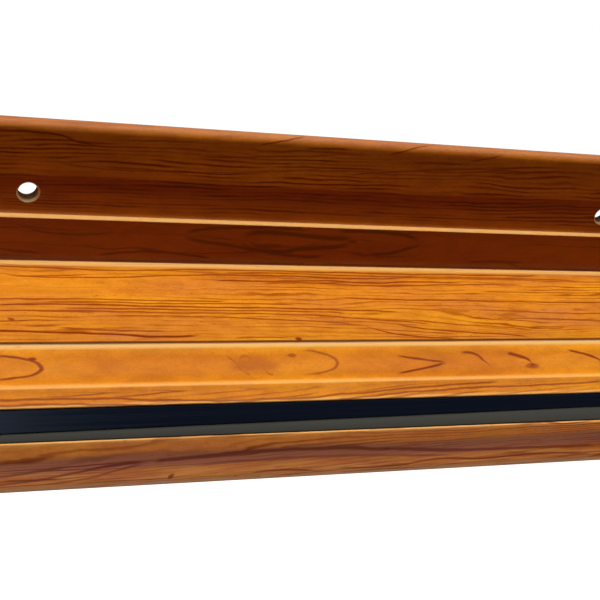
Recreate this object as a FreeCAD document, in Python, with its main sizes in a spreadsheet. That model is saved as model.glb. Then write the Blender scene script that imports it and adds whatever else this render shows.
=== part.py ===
import FreeCAD, Part
import math
import os
import re

import Sketcher

# Grab rail: an extruded wall rail with a stepped front, and a rounded grip bolted to its front web.
# Frame: X runs along the rail, Y = 0 is the wall and -Y faces out from it, +Z is up.
# The origin is the middle of the row of wall screw holes, on the wall face.
# "depth" is a distance out from the wall, so a depth is the negative of a Y coordinate.

SHEET = "Size"
OUT_DIR = "parts"

DIMENSIONS = (
    # alias, value, meaning
    ("rail_length", 294.0, "length of every extrusion, between the end caps"),
    ("hole_pitch", 150.0, "wall screw holes, centre to centre"),
    ("hole_count", 2, "wall screw holes"),
    ("hole_radius", 2.15, "fine clearance for an M4 wall screw"),
    ("hole_flare", 0.4, "broken edges of the wall screw holes"),
    ("wall_thickness", 3.6, "flange thickness, and the full round lip on top of it"),
    ("lip_height", 14.9, "centre of the round lip above the screw row"),
    ("ledge_drop", 5.2, "ledge below the screw row"),
    ("ledge_depth", 1.6, "how far the ledge stands out from the flange"),
    ("ledge_round", 1.0, "hollow corner above the ledge"),
    ("deck_drop", 16.4, "top of the deck below the screw row"),
    ("deck_thickness", 3.0, "deck plate"),
    ("deck_round", 0.8, "hollow corner at the back of the deck"),
    ("foot_drop", 26.0, "bottom of the flange below the screw row"),
    ("joint_depth", 36.4, "face where the grip meets the web, out from the wall"),
    ("web_thickness", 3.0, "web hanging from the front of the deck"),
    ("web_round", 2.5, "hollow corner between deck and web"),
    ("grip_depth", 36.8, "centre of the grip's round, out from the wall"),
    ("grip_drop", 34.6, "centre of the grip's round below the screw row"),
    ("grip_radius", 16.0, "outside radius of the grip"),
    ("grip_wall", 2.2, "wall of the hollow grip"),
    ("back_wall", 2.5, "flat back of the hollow grip"),
    ("scoop_angle", 58.5, "scoop ends here, degrees up from level round the grip"),
    ("land_angle", 43.0, "land ends and the groove begins here"),
    ("ridge_angle", 26.5, "carrier ends and the bead begins here"),
    ("nose_angle", 19.5, "groove ends and the round nose begins here"),
    ("scoop_radius", 17.0, "hollow of the scoop"),
    ("edge_round", 0.35, "broken outside edges of the extrusions"),
    ("seam_round", 0.2, "broken edges where the grip meets the deck"),
    ("nut_slot_mouth", 4.6, "nut slot, width at the back face"),
    ("nut_slot_lip", 1.6, "nut slot, lips behind the nuts"),
    ("nut_slot_width", 7.4, "nut slot, inside width"),
    ("nut_slot_depth", 3.6, "nut slot, inside depth"),
    ("groove_depth", 3.2, "insert groove, mouth to floor"),
    ("groove_neck", 1.2, "insert groove, straight part of its sides"),
    ("groove_undercut", 0.7, "insert groove, undercut that holds the carrier"),
    ("insert_gap", 0.1, "room round the carrier and the bead"),
    ("insert_recess", 0.25, "carrier face below the edge of the land"),
    ("bead_seat", 2.0, "depth of the bead's seat below the mouth of the groove"),
    ("port_radius", 1.45, "screw ports, core hole for a 3.5 mm tapping screw"),
    ("port_boss", 3.2, "screw ports, outside radius"),
    ("port_inset", 2.6, "wall port centre in from flange and deck"),
    ("grip_port_depth", 41.6, "grip ports, out from the wall"),
    ("upper_port_drop", 24.6, "upper grip port below the screw row"),
    ("lower_port_drop", 44.4, "lower grip port below the screw row"),
    ("cap_thickness", 3.0, "end caps"),
    ("cap_margin", 0.4, "end caps stand proud of the section by this"),
    ("cap_round", 0.9, "rounded rim of the end caps"),
    ("lug_depth", 46.6, "locating lug of the end caps, out from the wall"),
    ("lug_drop", 39.2, "locating lug below the screw row"),
    ("lug_width", 2.4, "locating lug, out from the wall"),
    ("lug_height", 5.4, "locating lug, up and down"),
    ("lug_length", 6.0, "locating lug, into the grip"),
    ("cap_screw_head", 3.4, "cap screw, head radius"),
    ("cap_screw_length", 16.0, "cap screw, overall"),
    ("joint_pitch", 80.0, "joint screws, centre to centre"),
    ("joint_count", 4, "joint screws"),
    ("joint_hole", 2.2, "joint screw clearance radius in the web"),
    ("joint_screw_radius", 2.0, "M4 joint screw"),
    ("joint_screw_head", 3.8, "M4 countersunk head radius"),
    ("joint_screw_length", 8.0, "M4 joint screw, overall"),
    ("nut_width", 7.0, "M4 thin square nut, across flats"),
    ("nut_thickness", 2.2, "M4 thin square nut"),
    ("hex_radius", 1.45, "joint screw socket, across corners / 2"),
    ("hex_depth", 1.4, "joint screw socket"),
    ("cross_width", 0.9, "cap screw cross recess, width of a slot"),
    ("cross_reach", 1.9, "cap screw cross recess, half length of a slot"),
    ("cross_depth", 1.3, "cap screw cross recess"),
    ("screw_tip", 0.6, "bevel at the tip of a screw"),
)

VALUES = {alias: value for alias, value, _ in DIMENSIONS}

doc = FreeCAD.newDocument("GrabRail")


def fill_sheet():
    """Write the driving dimensions, with their meanings, into the spreadsheet."""
    sheet = doc.addObject("Spreadsheet::Sheet", SHEET)
    for row, (alias, value, meaning) in enumerate(DIMENSIONS, start=1):
        sheet.set(f"A{row}", meaning)
        sheet.set(f"B{row}", str(value))
        sheet.setAlias(f"B{row}", alias)
    doc.recompute()
    return sheet


sheet = fill_sheet()


def bound(text):
    """Turn 'deck_drop + 1' into 'Size.deck_drop + 1'. Every alias has an underscore in it."""
    return re.sub(r"\b[a-z]+(?:_[a-z]+)+\b", lambda word: f"{SHEET}.{word.group()}", str(text))


def value_of(text):
    """What an expression in the sheet's aliases comes to now."""
    return float(sheet.evalExpression(bound(text)))


def bind(thing, prop, text):
    thing.setExpression(prop, bound(text))


# ---------------------------------------------------------------- sketches and features

def new_body(label):
    body = doc.addObject("PartDesign::Body", label)
    body.Label = label
    return body


def new_sketch(body, name, role, offset=None):
    """A sketch on one of the body's own origin planes, moved by bound attachment offsets."""
    plane = next(item for item in body.Origin.OriginFeatures if item.Role == role)
    sketch = body.newObject("Sketcher::SketchObject", name)
    sketch.AttachmentSupport = [(plane, "")]
    sketch.MapMode = "FlatFace"
    no_turn = FreeCAD.Rotation(FreeCAD.Vector(0, 0, 1), 0)
    sketch.AttachmentOffset = FreeCAD.Placement(FreeCAD.Vector(), no_turn)
    for prop, text in (offset or {}).items():
        bind(sketch, f"AttachmentOffset.{prop}", text)
    return sketch


def constrain(sketch, value_text, *constraint):
    """Add a dimension to the sketch and bind it to the sheet."""
    index = sketch.addConstraint(Sketcher.Constraint(*constraint, value_of(value_text)))
    bind(sketch, f"Constraints[{index}]", value_text)


def arc_through(start, end, radius, turn):
    """The short arc between two points. turn is 1 for an arc that runs anticlockwise, else -1."""
    chord = end - start
    middle = (start + end) * 0.5
    side = FreeCAD.Vector(-chord.y, chord.x, 0).normalize()
    rise = math.sqrt(radius ** 2 - (chord.Length / 2) ** 2)
    centre = middle + side * (rise * turn)
    first, last = (start, end) if turn > 0 else (end, start)
    angles = [math.atan2(point.y - centre.y, point.x - centre.x) for point in (first, last)]
    return Part.ArcOfCircle(Part.Circle(centre, FreeCAD.Vector(0, 0, 1), radius), *angles)


def draw_outline(sketch, steps):
    """Draw a closed outline. A step is (x, y) for a line to that point, or
    (x, y, radius, turn) for an arc to it; every point and radius is bound to the sheet."""
    points = [FreeCAD.Vector(value_of(step[0]), value_of(step[1]), 0) for step in steps]
    ends = []
    for index, step in enumerate(steps):
        start, end = points[index - 1], points[index]
        if len(step) == 2:
            edge = sketch.addGeometry(Part.LineSegment(start, end))
            ends.append((edge, 1, 2))
            continue
        radius, turn = step[2:]
        edge = sketch.addGeometry(arc_through(start, end, value_of(radius), turn))
        ends.append((edge, 1, 2) if turn > 0 else (edge, 2, 1))
        constrain(sketch, radius, "Radius", edge)
    for index, (edge, _, last) in enumerate(ends):
        following, first, _ = ends[(index + 1) % len(ends)]
        sketch.addConstraint(Sketcher.Constraint("Coincident", edge, last, following, first))
        constrain(sketch, steps[index][0], "DistanceX", -1, 1, edge, last)
        constrain(sketch, steps[index][1], "DistanceY", -1, 1, edge, last)


def draw_circle(sketch, x, y, radius):
    centre = FreeCAD.Vector(value_of(x), value_of(y), 0)
    edge = sketch.addGeometry(Part.Circle(centre, FreeCAD.Vector(0, 0, 1), value_of(radius)))
    constrain(sketch, radius, "Radius", edge)
    constrain(sketch, x, "DistanceX", -1, 1, edge, 3)
    constrain(sketch, y, "DistanceY", -1, 1, edge, 3)


def pad(body, sketch, name, length, side="One side", reverse=False):
    feature = body.newObject("PartDesign::Pad", name)
    feature.Profile = sketch
    feature.SideType = side
    feature.Reversed = reverse
    bind(feature, "Length", length)
    doc.recompute()
    return feature


def pocket(body, sketch, name, length=None, reverse=False):
    """Cut the sketch through everything both ways, or to one length. It has to take metal away."""
    before = body.Shape.Volume
    feature = body.newObject("PartDesign::Pocket", name)
    feature.Profile = sketch
    feature.Reversed = reverse
    if length is None:
        feature.Type = "ThroughAll"
        feature.SideType = "Symmetric"
    else:
        bind(feature, "Length", length)
    doc.recompute()
    if not body.Shape.Volume < before - 1e-3:
        raise RuntimeError(f"{name} cut nothing")
    return feature


def pattern(body, feature, sketch, name, count, pitch):
    """Repeat a feature along the sketch's horizontal axis."""
    row = body.newObject("PartDesign::LinearPattern", name)
    row.Originals = [feature]
    row.Direction = (sketch, ["H_Axis"])
    row.Mode = "Spacing"
    bind(row, "Offset", pitch)
    bind(row, "Occurrences", count)
    body.Tip = row
    doc.recompute()
    return row


def edges_along_rail(shape, corners):
    """Names of the straight edges that run along X through the given (depth, height) corners."""
    names = []
    for number, edge in enumerate(shape.Edges, start=1):
        start, end = (vertex.Point for vertex in (edge.Vertexes[0], edge.Vertexes[-1]))
        if abs(start.x - end.x) < 1:
            continue
        for depth, height in corners:
            if math.hypot(start.y + value_of(depth), start.z - value_of(height)) < 0.01:
                names.append(f"Edge{number}")
    return names


def round_edges(body, name, names, radius, kind="Fillet", prop="Radius"):
    """Fillet (or chamfer) the named edges of the body's tip."""
    if not names:
        raise RuntimeError(f"{name} found no edges")
    base = body.Tip
    feature = body.newObject(f"PartDesign::{kind}", name)
    feature.Base = (base, names)
    bind(feature, prop, radius)
    body.Tip = feature
    doc.recompute()
    return feature


def round_corners(body, name, corners, radius):
    return round_edges(body, name, edges_along_rail(body.Shape, corners), radius)


def rims_at(shape, axis, level, radius):
    """Names of the whole circles of one radius whose centres lie at one level along an axis."""
    names = []
    for number, edge in enumerate(shape.Edges, start=1):
        curve = edge.Curve
        if not isinstance(curve, Part.Circle):
            continue
        if abs(curve.Radius - radius) < 1e-3 and abs(getattr(curve.Center, axis) - level) < 1e-3:
            names.append(f"Edge{number}")
    return names


# ---------------------------------------------------------------- the section

def on_grip(angle, radius="grip_radius"):
    """A point round the grip, as sketch coordinates in the section plane."""
    return (f"-(grip_depth + {radius} * cos({angle}))", f"-grip_drop + {radius} * sin({angle})")


GROOVE_HALF = "grip_radius * sin((land_angle - nose_angle) / 2)"
GROOVE_MOUTH = "grip_radius * cos((land_angle - nose_angle) / 2)"
GROOVE_ANGLE = "(land_angle + nose_angle) / 2"
DECK_UNDER = "-(deck_drop + deck_thickness)"
WEB_DEPTH = "joint_depth - web_thickness"
LEDGE_OUT = "wall_thickness + ledge_depth"
GRIP_BOTTOM = "-(grip_drop + grip_radius)"

# The insert frame: its first axis runs up across the groove, its second out from the grip's centre.
INSERT_FRAME = {
    "Base.x": "-grip_depth",
    "Base.y": "-grip_drop",
    "Rotation.Angle": f"90 - {GROOVE_ANGLE}",
}


# Screw ports that take the end cap screws, as sketch coordinates in the section plane.
PORTS = {
    "wall": ("-(wall_thickness + port_inset)", f"{DECK_UNDER} - port_inset"),
    "upper": ("-grip_port_depth", "-upper_port_drop"),
    "lower": ("-grip_port_depth", "-lower_port_drop"),
}


def make_mounting_rail():
    """Flange, ledge, deck and web in one extrusion, drilled for wall and joint screws."""
    body = new_body("mounting_rail")
    section = new_sketch(body, "rail_section", "YZ_Plane")
    draw_outline(section, (
        ("0", "-foot_drop"),
        ("0", "lip_height"),
        ("-wall_thickness / 2", "lip_height + wall_thickness / 2", "wall_thickness / 2", 1),
        ("-wall_thickness", "lip_height", "wall_thickness / 2", 1),
        ("-wall_thickness", "-ledge_drop"),
        (f"-({LEDGE_OUT})", "-ledge_drop"),
        (f"-({LEDGE_OUT})", "-deck_drop"),
        ("-joint_depth", "-deck_drop"),
        ("-joint_depth", GRIP_BOTTOM),
        (f"-({WEB_DEPTH})", f"{GRIP_BOTTOM} + web_thickness", "web_thickness", -1),
        (f"-({WEB_DEPTH})", DECK_UNDER),
        ("-wall_thickness", DECK_UNDER),
        ("-wall_thickness", "-foot_drop"),
    ))
    pad(body, section, "rail_extrusion", "rail_length", "Symmetric")
    boss = new_sketch(body, "port_boss_section", "YZ_Plane")
    draw_circle(boss, *PORTS["wall"], "port_boss")
    pad(body, boss, "port_boss_extrusion", "rail_length", "Symmetric")
    round_corners(body, "ledge_corner", [("wall_thickness", "-ledge_drop")], "ledge_round")
    round_corners(body, "deck_corner", [(LEDGE_OUT, "-deck_drop")], "deck_round")
    round_corners(body, "web_corner", [(WEB_DEPTH, DECK_UNDER)], "web_round")
    outside = [(LEDGE_OUT, "-ledge_drop"), ("wall_thickness", "-foot_drop")]
    round_corners(body, "rail_edges", outside, "edge_round")
    round_corners(body, "rail_seam_edge", [("joint_depth", "-deck_drop")], "seam_round")
    port = new_sketch(body, "wall_port_section", "YZ_Plane")
    draw_circle(port, *PORTS["wall"], "port_radius")
    pocket(body, port, "wall_port")
    wall_hole = new_sketch(body, "wall_hole_place", "XZ_Plane")
    draw_circle(wall_hole, "-hole_pitch * (hole_count - 1) / 2", "0", "hole_radius")
    drilled = pocket(body, wall_hole, "wall_hole", "wall_thickness * 2", True)
    pattern(body, drilled, wall_hole, "wall_holes", "hole_count", "hole_pitch")
    rims = rims_at(body.Shape, "y", 0, VALUES["hole_radius"])
    rims += rims_at(body.Shape, "y", -VALUES["wall_thickness"], VALUES["hole_radius"])
    round_edges(body, "wall_hole_edges", rims, "hole_flare", "Chamfer", "Size")
    joint_hole = new_sketch(body, "joint_hole_place", "XZ_Plane", {"Base.z": WEB_DEPTH})
    draw_circle(joint_hole, "-joint_pitch * (joint_count - 1) / 2", "-grip_drop", "joint_hole")
    drilled = pocket(body, joint_hole, "joint_hole", "web_thickness", True)
    pattern(body, drilled, joint_hole, "joint_holes", "joint_count", "joint_pitch")
    rims = rims_at(body.Shape, "y", -value_of(WEB_DEPTH), VALUES["joint_hole"])
    round_edges(body, "countersinks", rims, "joint_screw_head - joint_hole", "Chamfer", "Size")
    return body


def make_grip_rail():
    """Rounded hollow grip: scoop, land, insert groove and nose outside, nut slot in its flat back."""
    body = new_body("grip_rail")
    section = new_sketch(body, "grip_section", "YZ_Plane")
    draw_outline(section, (
        ("-joint_depth", GRIP_BOTTOM),
        ("-joint_depth", "-deck_drop"),
        (*on_grip("scoop_angle"), "scoop_radius", -1),
        on_grip("land_angle"),
        on_grip("nose_angle"),
        ("-grip_depth", GRIP_BOTTOM, "grip_radius", 1),
    ))
    pad(body, section, "grip_extrusion", "rail_length", "Symmetric")
    groove = new_sketch(body, "groove_section", "YZ_Plane", INSERT_FRAME)
    wide = f"({GROOVE_HALF} + groove_undercut)"
    neck = f"({GROOVE_MOUTH} - groove_neck)"
    shoulder = f"({neck} - groove_undercut)"
    floor = f"({GROOVE_MOUTH} - groove_depth)"
    draw_outline(groove, (
        (GROOVE_HALF, "grip_radius"),
        (f"-{GROOVE_HALF}", "grip_radius"),
        (f"-{GROOVE_HALF}", neck),
        (f"-{wide}", shoulder),
        (f"-{wide}", floor),
        (wide, floor),
        (wide, shoulder),
        (GROOVE_HALF, neck),
    ))
    pocket(body, groove, "insert_groove")
    slot = new_sketch(body, "nut_slot_section", "YZ_Plane")
    lip = "-(joint_depth + nut_slot_lip)"
    back = "-(joint_depth + nut_slot_lip + nut_slot_depth)"
    draw_outline(slot, (
        ("-joint_depth", "-grip_drop - nut_slot_mouth / 2"),
        ("-joint_depth", "-grip_drop + nut_slot_mouth / 2"),
        (lip, "-grip_drop + nut_slot_mouth / 2"),
        (lip, "-grip_drop + nut_slot_width / 2"),
        (back, "-grip_drop + nut_slot_width / 2"),
        (back, "-grip_drop - nut_slot_width / 2"),
        (lip, "-grip_drop - nut_slot_width / 2"),
        (lip, "-grip_drop - nut_slot_mouth / 2"),
    ))
    pocket(body, slot, "nut_slot")
    make_grip_hollow(body)
    boss = new_sketch(body, "lower_boss_section", "YZ_Plane")
    draw_circle(boss, *PORTS["lower"], "port_boss")
    pad(body, boss, "lower_boss", "rail_length", "Symmetric")
    for name in ("upper", "lower"):
        port = new_sketch(body, f"{name}_port_section", "YZ_Plane")
        draw_circle(port, *PORTS[name], "port_radius")
        pocket(body, port, f"{name}_port")
    round_corners(body, "grip_seam_edge", [("joint_depth", "-deck_drop")], "seam_round")
    corners = []
    for angle in ("scoop_angle", "land_angle", "nose_angle"):
        across, up = on_grip(angle)
        corners.append((f"-({across})", up))
    round_corners(body, "grip_edges", corners, "edge_round")
    return body


def make_grip_hollow(body):
    """The chamber under and in front of the nut slot, inside the round wall."""
    inner = "(grip_radius - grip_wall)"
    ceiling = f"({GROOVE_MOUTH} - groove_depth - grip_wall)"
    ceiling_turn = f"({GROOVE_ANGLE} - acos({ceiling} / {inner}) / 1 deg)"
    back = "(joint_depth + back_wall)"
    back_turn = f"(acos(({back} - grip_depth) / {inner}) / 1 deg)"
    block_depth = "(joint_depth + 2 * nut_slot_lip + nut_slot_depth)"
    block_drop = "(grip_drop + nut_slot_width / 2 + nut_slot_lip)"
    hollow = new_sketch(body, "hollow_section", "YZ_Plane")
    draw_outline(hollow, (
        (f"-{back}", f"-{block_drop}"),
        (f"-{block_depth}", f"-{block_drop}"),
        (f"-{block_depth}", "-grip_drop + grip_wall"),
        on_ceiling(ceiling, "grip_wall"),
        on_grip(ceiling_turn, inner),
        (*on_grip(f"(-{back_turn})", inner), inner, 1),
    ))
    pocket(body, hollow, "grip_hollow")


def on_ceiling(ceiling, height):
    """Where the flat under the insert groove crosses a level above the grip's centre."""
    slope = f"(({ceiling} - {height} * sin({GROOVE_ANGLE})) / cos({GROOVE_ANGLE}))"
    return (f"-(grip_depth + {slope})", f"-grip_drop + {height}")


def make_insert_carrier():
    """Hard strip that snaps into the groove: its sloping face shows above the bead."""
    body = new_body("insert_carrier")
    section = new_sketch(body, "carrier_section", "YZ_Plane", INSERT_FRAME)
    half = f"({GROOVE_HALF} - insert_gap)"
    wide = f"({GROOVE_HALF} + groove_undercut - insert_gap)"
    neck = f"({GROOVE_MOUTH} - groove_neck - insert_gap)"
    ridge = ("-grip_radius * sin({0} - ridge_angle)", "grip_radius * cos({0} - ridge_angle)")
    ridge_across, ridge_out = (text.format(GROOVE_ANGLE) for text in ridge)
    seat = f"({GROOVE_MOUTH} - bead_seat)"
    floor = f"({GROOVE_MOUTH} - groove_depth)"
    draw_outline(section, (
        (half, f"{GROOVE_MOUTH} - insert_recess"),
        (ridge_across, ridge_out),
        (ridge_across, seat),
        (f"-{wide}", seat),
        (f"-{wide}", floor),
        (wide, floor),
        (wide, f"{neck} - groove_undercut"),
        (half, neck),
    ))
    pad(body, section, "carrier_extrusion", "rail_length", "Symmetric")
    return body


def make_insert_bead():
    """Soft strip below the carrier, held by its foot in the groove's undercut."""
    body = new_body("insert_bead")
    section = new_sketch(body, "bead_section", "YZ_Plane", INSERT_FRAME)
    half = f"({GROOVE_HALF} - insert_gap)"
    wide = f"({GROOVE_HALF} + groove_undercut - insert_gap)"
    neck = f"({GROOVE_MOUTH} - groove_neck - insert_gap)"
    ridge_across = f"(-grip_radius * sin({GROOVE_ANGLE} - ridge_angle) - insert_gap)"
    ridge_out = f"(grip_radius * cos({GROOVE_ANGLE} - ridge_angle) - insert_recess)"
    seat = f"({GROOVE_MOUTH} - bead_seat)"
    draw_outline(section, (
        (ridge_across, seat),
        (ridge_across, ridge_out),
        (f"-{half}", f"{GROOVE_MOUTH} - insert_gap", "grip_radius / 3", 1),
        (f"-{half}", neck),
        (f"-{wide}", f"{neck} - groove_undercut"),
        (f"-{wide}", seat),
    ))
    pad(body, section, "bead_extrusion", "rail_length", "Symmetric")
    return body


# ---------------------------------------------------------------- end caps and fasteners

SIDES = {"left": -1, "right": 1}


def make_end_cap(side, sign):
    """Moulded cap that closes one end of both rails, with a lug into the grip's chamber."""
    body = new_body(f"end_cap_{side}")
    end_plane = {"Base.z": f"{sign} * rail_length / 2"}
    outline = new_sketch(body, f"{side}_cap_outline", "YZ_Plane", end_plane)
    outer = "(grip_radius + cap_margin)"
    lip = "((wall_thickness + cap_margin) / 2)"
    draw_outline(outline, (
        ("0", "-(foot_drop + cap_margin)"),
        ("0", "lip_height"),
        (f"-{lip}", f"lip_height + {lip}", lip, 1),
        (f"-2 * {lip}", "lip_height", lip, 1),
        (f"-2 * {lip}", "cap_margin - ledge_drop"),
        (f"-({LEDGE_OUT} + cap_margin)", "cap_margin - ledge_drop"),
        (f"-({LEDGE_OUT} + cap_margin)", "cap_margin - deck_drop"),
        ("-grip_depth", "cap_margin - deck_drop"),
        on_grip("scoop_angle", outer),
        ("-grip_depth", f"-(grip_drop + {outer})", outer, 1),
        (f"-({WEB_DEPTH})", f"-(grip_drop + {outer})"),
    ))
    pad(body, outline, f"{side}_cap_plate", "cap_thickness", reverse=sign < 0)
    lug = new_sketch(body, f"{side}_lug_outline", "YZ_Plane", end_plane)
    near, far = "-(lug_depth - lug_width / 2)", "-(lug_depth + lug_width / 2)"
    low, high = "-(lug_drop + lug_height / 2)", "-(lug_drop - lug_height / 2)"
    draw_outline(lug, ((near, low), (near, high), (far, high), (far, low)))
    pad(body, lug, f"{side}_lug", "lug_length", reverse=sign > 0)
    for name, place in PORTS.items():
        hole = new_sketch(body, f"{side}_{name}_hole_place", "YZ_Plane", end_plane)
        draw_circle(hole, *place, "port_radius")
        pocket(body, hole, f"{side}_{name}_hole")
    face = sign * (VALUES["rail_length"] / 2 + VALUES["cap_thickness"])
    rims = rims_at(body.Shape, "x", face, VALUES["port_radius"])
    round_edges(body, f"{side}_countersinks", rims, "cap_screw_head - port_radius", "Chamfer", "Size")
    round_edges(body, f"{side}_cap_rim", cap_rim(body.Shape, face), "cap_round")
    return body


def cap_rim(shape, face):
    """Names of the outer face's edges, leaving out the screw holes and the edge on the wall."""
    names = []
    for number, edge in enumerate(shape.Edges, start=1):
        box = edge.BoundBox
        flat_on_face = abs(box.XMin - face) < 1e-3 and abs(box.XMax - face) < 1e-3
        if not flat_on_face or box.YMin > -1e-3:
            continue
        round_rim = isinstance(edge.Curve, Part.Circle)
        if not round_rim or abs(edge.Curve.Radius - VALUES["cap_screw_head"]) > 1e-3:
            names.append(f"Edge{number}")
    return names


def make_screw(label, head, shank, length, recess):
    """Countersunk screw along -Z from its flat head at Z = 0. recess draws its drive and gives the depth."""
    body = new_body(label)
    profile = new_sketch(body, f"{label}_profile", "XZ_Plane")
    draw_outline(profile, (
        ("0", "0"),
        ("0", f"-{length}"),
        (f"{shank} - screw_tip", f"-{length}"),
        (shank, f"screw_tip - {length}"),
        (shank, f"{shank} - {head}"),
        (head, "0"),
    ))
    turned = body.newObject("PartDesign::Revolution", f"{label}_turned")
    turned.Profile = profile
    turned.ReferenceAxis = (profile, ["V_Axis"])
    turned.Angle = 360
    doc.recompute()
    drive = new_sketch(body, f"{label}_drive", "XY_Plane")
    depth = recess(drive)
    pocket(body, drive, f"{label}_recess", depth)
    return body


def draw_hex(sketch):
    turns = [f"{60 * step}" for step in range(6)]
    draw_outline(sketch, [(f"hex_radius * cos({turn})", f"hex_radius * sin({turn})") for turn in turns])
    return "hex_depth"


def draw_cross(sketch):
    arm, half = "cross_reach", "cross_width / 2"
    quarter = [(arm, f"-{half}"), (arm, half), (half, half)]
    steps = []
    for _ in range(4):
        steps += quarter
        quarter = [(f"-({up})", across) for across, up in quarter]
    draw_outline(sketch, steps)
    return "cross_depth"


def place(body, rotation, across, depth_y, height):
    """Turn a fastener, then bind its position to the sheet."""
    body.Placement = FreeCAD.Placement(FreeCAD.Vector(), rotation)
    bind(body, "Placement.Base.x", across)
    bind(body, "Placement.Base.y", depth_y)
    bind(body, "Placement.Base.z", height)


def make_cap_screws():
    """Three cross recess tapping screws through each end cap."""
    screws = []
    for side, sign in SIDES.items():
        outward = FreeCAD.Rotation(FreeCAD.Vector(0, 0, 1), FreeCAD.Vector(sign, 0, 0))
        for name, (across, up) in PORTS.items():
            screw = make_screw(f"cap_screw_{side}_{name}", "cap_screw_head", "port_radius",
                               "cap_screw_length", draw_cross)
            place(screw, outward, f"{sign} * (rail_length / 2 + cap_thickness)", across, up)
            screws.append(screw)
    return screws


def make_square_nut(label):
    """Thin square nut, its bearing face at Z = 0 and its body below."""
    body = new_body(label)
    outline = new_sketch(body, f"{label}_outline", "XY_Plane")
    half = "nut_width / 2"
    draw_outline(outline, ((half, f"-{half}"), (half, half), (f"-{half}", half), (f"-{half}", f"-{half}")))
    pad(body, outline, f"{label}_blank", "nut_thickness", reverse=True)
    bore = new_sketch(body, f"{label}_bore_place", "XY_Plane")
    draw_circle(bore, "0", "0", "joint_screw_radius")
    pocket(body, bore, f"{label}_bore")
    return body


def make_joint_fasteners():
    """Countersunk screws from behind the web into square nuts in the grip's slot."""
    parts = []
    to_wall = FreeCAD.Rotation(FreeCAD.Vector(0, 0, 1), FreeCAD.Vector(0, 1, 0))
    for number in range(VALUES["joint_count"]):
        across = f"joint_pitch * ({number} - (joint_count - 1) / 2)"
        screw = make_screw(f"joint_screw_{number + 1}", "joint_screw_head", "joint_screw_radius",
                           "joint_screw_length", draw_hex)
        place(screw, to_wall, across, f"-({WEB_DEPTH})", "-grip_drop")
        nut = make_square_nut(f"square_nut_{number + 1}")
        place(nut, to_wall, across, "-(joint_depth + nut_slot_lip)", "-grip_drop")
        parts += [screw, nut]
    return parts


# ---------------------------------------------------------------- build, check and write

def check_document(bodies):
    """Stop if any object failed to recompute or any body has no sound shape."""
    doc.recompute()
    for item in doc.Objects:
        if {"Invalid", "Error"} & set(item.State):
            raise RuntimeError(f"{item.Name} failed: {item.State}")
        if item.isDerivedFrom("Sketcher::SketchObject") and not item.FullyConstrained:
            raise RuntimeError(f"{item.Name} is not fully constrained")
    for body in bodies:
        if body.Shape.isNull() or not body.Shape.isValid() or len(body.Shape.Solids) != 1:
            raise RuntimeError(f"{body.Label} has no sound solid")


def write_parts(bodies):
    os.makedirs(OUT_DIR, exist_ok=True)
    for body in bodies:
        body.Shape.exportStep(os.path.join(OUT_DIR, f"{body.Label}.step"))
        box = body.Shape.BoundBox
        size = f"{box.XLength:.1f} x {box.YLength:.1f} x {box.ZLength:.1f} mm"
        print(f"{body.Label:24s} {body.Shape.Volume:10.1f} mm3  {size}")


bodies = [make_mounting_rail(), make_grip_rail(), make_insert_carrier(), make_insert_bead()]
bodies += [make_end_cap(side, sign) for side, sign in SIDES.items()]
bodies += make_cap_screws()
bodies += make_joint_fasteners()
check_document(bodies)
write_parts(bodies)
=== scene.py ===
import math

import bmesh
import bpy
import numpy as np
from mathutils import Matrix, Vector


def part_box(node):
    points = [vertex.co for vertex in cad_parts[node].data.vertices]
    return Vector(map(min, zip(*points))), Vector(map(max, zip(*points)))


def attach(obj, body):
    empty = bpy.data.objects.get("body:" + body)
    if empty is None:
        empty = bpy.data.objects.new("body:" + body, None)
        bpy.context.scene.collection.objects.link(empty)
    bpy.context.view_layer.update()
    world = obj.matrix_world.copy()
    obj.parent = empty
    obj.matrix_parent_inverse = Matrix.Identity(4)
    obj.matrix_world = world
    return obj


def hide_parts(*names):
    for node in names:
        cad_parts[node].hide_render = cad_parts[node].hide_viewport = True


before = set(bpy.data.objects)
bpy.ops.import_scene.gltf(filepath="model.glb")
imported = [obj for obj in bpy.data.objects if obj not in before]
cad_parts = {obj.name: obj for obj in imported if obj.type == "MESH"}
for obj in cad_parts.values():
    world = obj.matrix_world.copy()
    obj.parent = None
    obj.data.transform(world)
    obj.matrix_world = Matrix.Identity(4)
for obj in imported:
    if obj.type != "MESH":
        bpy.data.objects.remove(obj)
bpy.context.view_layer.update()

# Looks for the grab rail. Sections are in millimetres, as (depth out from the wall, height above the
# screw row); meshes are in metres in the CAD frame: X along the rail, -Y out from the wall, Z up.

MM = 0.001
RAIL_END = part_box("mounting_rail")[1].x / MM
STATION_STEP = 21.0          # the extrusions are cut across this often
ARC_STEP = 4.0               # degrees between the points of an arc
ROUND_STEP = 12.0            # degrees between the points of a rounded edge
SAME_PLACE = 1e-6            # points closer than this are one point
SHARP_ANGLE = math.radians(32)
EDGE_ROUND = 0.35
SEAM_ROUND = 0.2
TRIM_ROUND = 0.15

# The mounting rail.
FLANGE_FACE = 3.6
LIP_HEIGHT = 14.9
LIP_RADIUS = 1.8
LEDGE_TOP = -5.2
LEDGE_FACE = 5.2
LEDGE_ROUND = 1.0
DECK_TOP = -16.4
DECK_UNDER = -19.4
DECK_ROUND = 0.8
FLANGE_FOOT = -26.0
WEB_BACK = 33.4
WEB_ROUND = 2.5
WEB_TOE_RADIUS = 3.0
JOINT_DEPTH = 36.4

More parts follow.
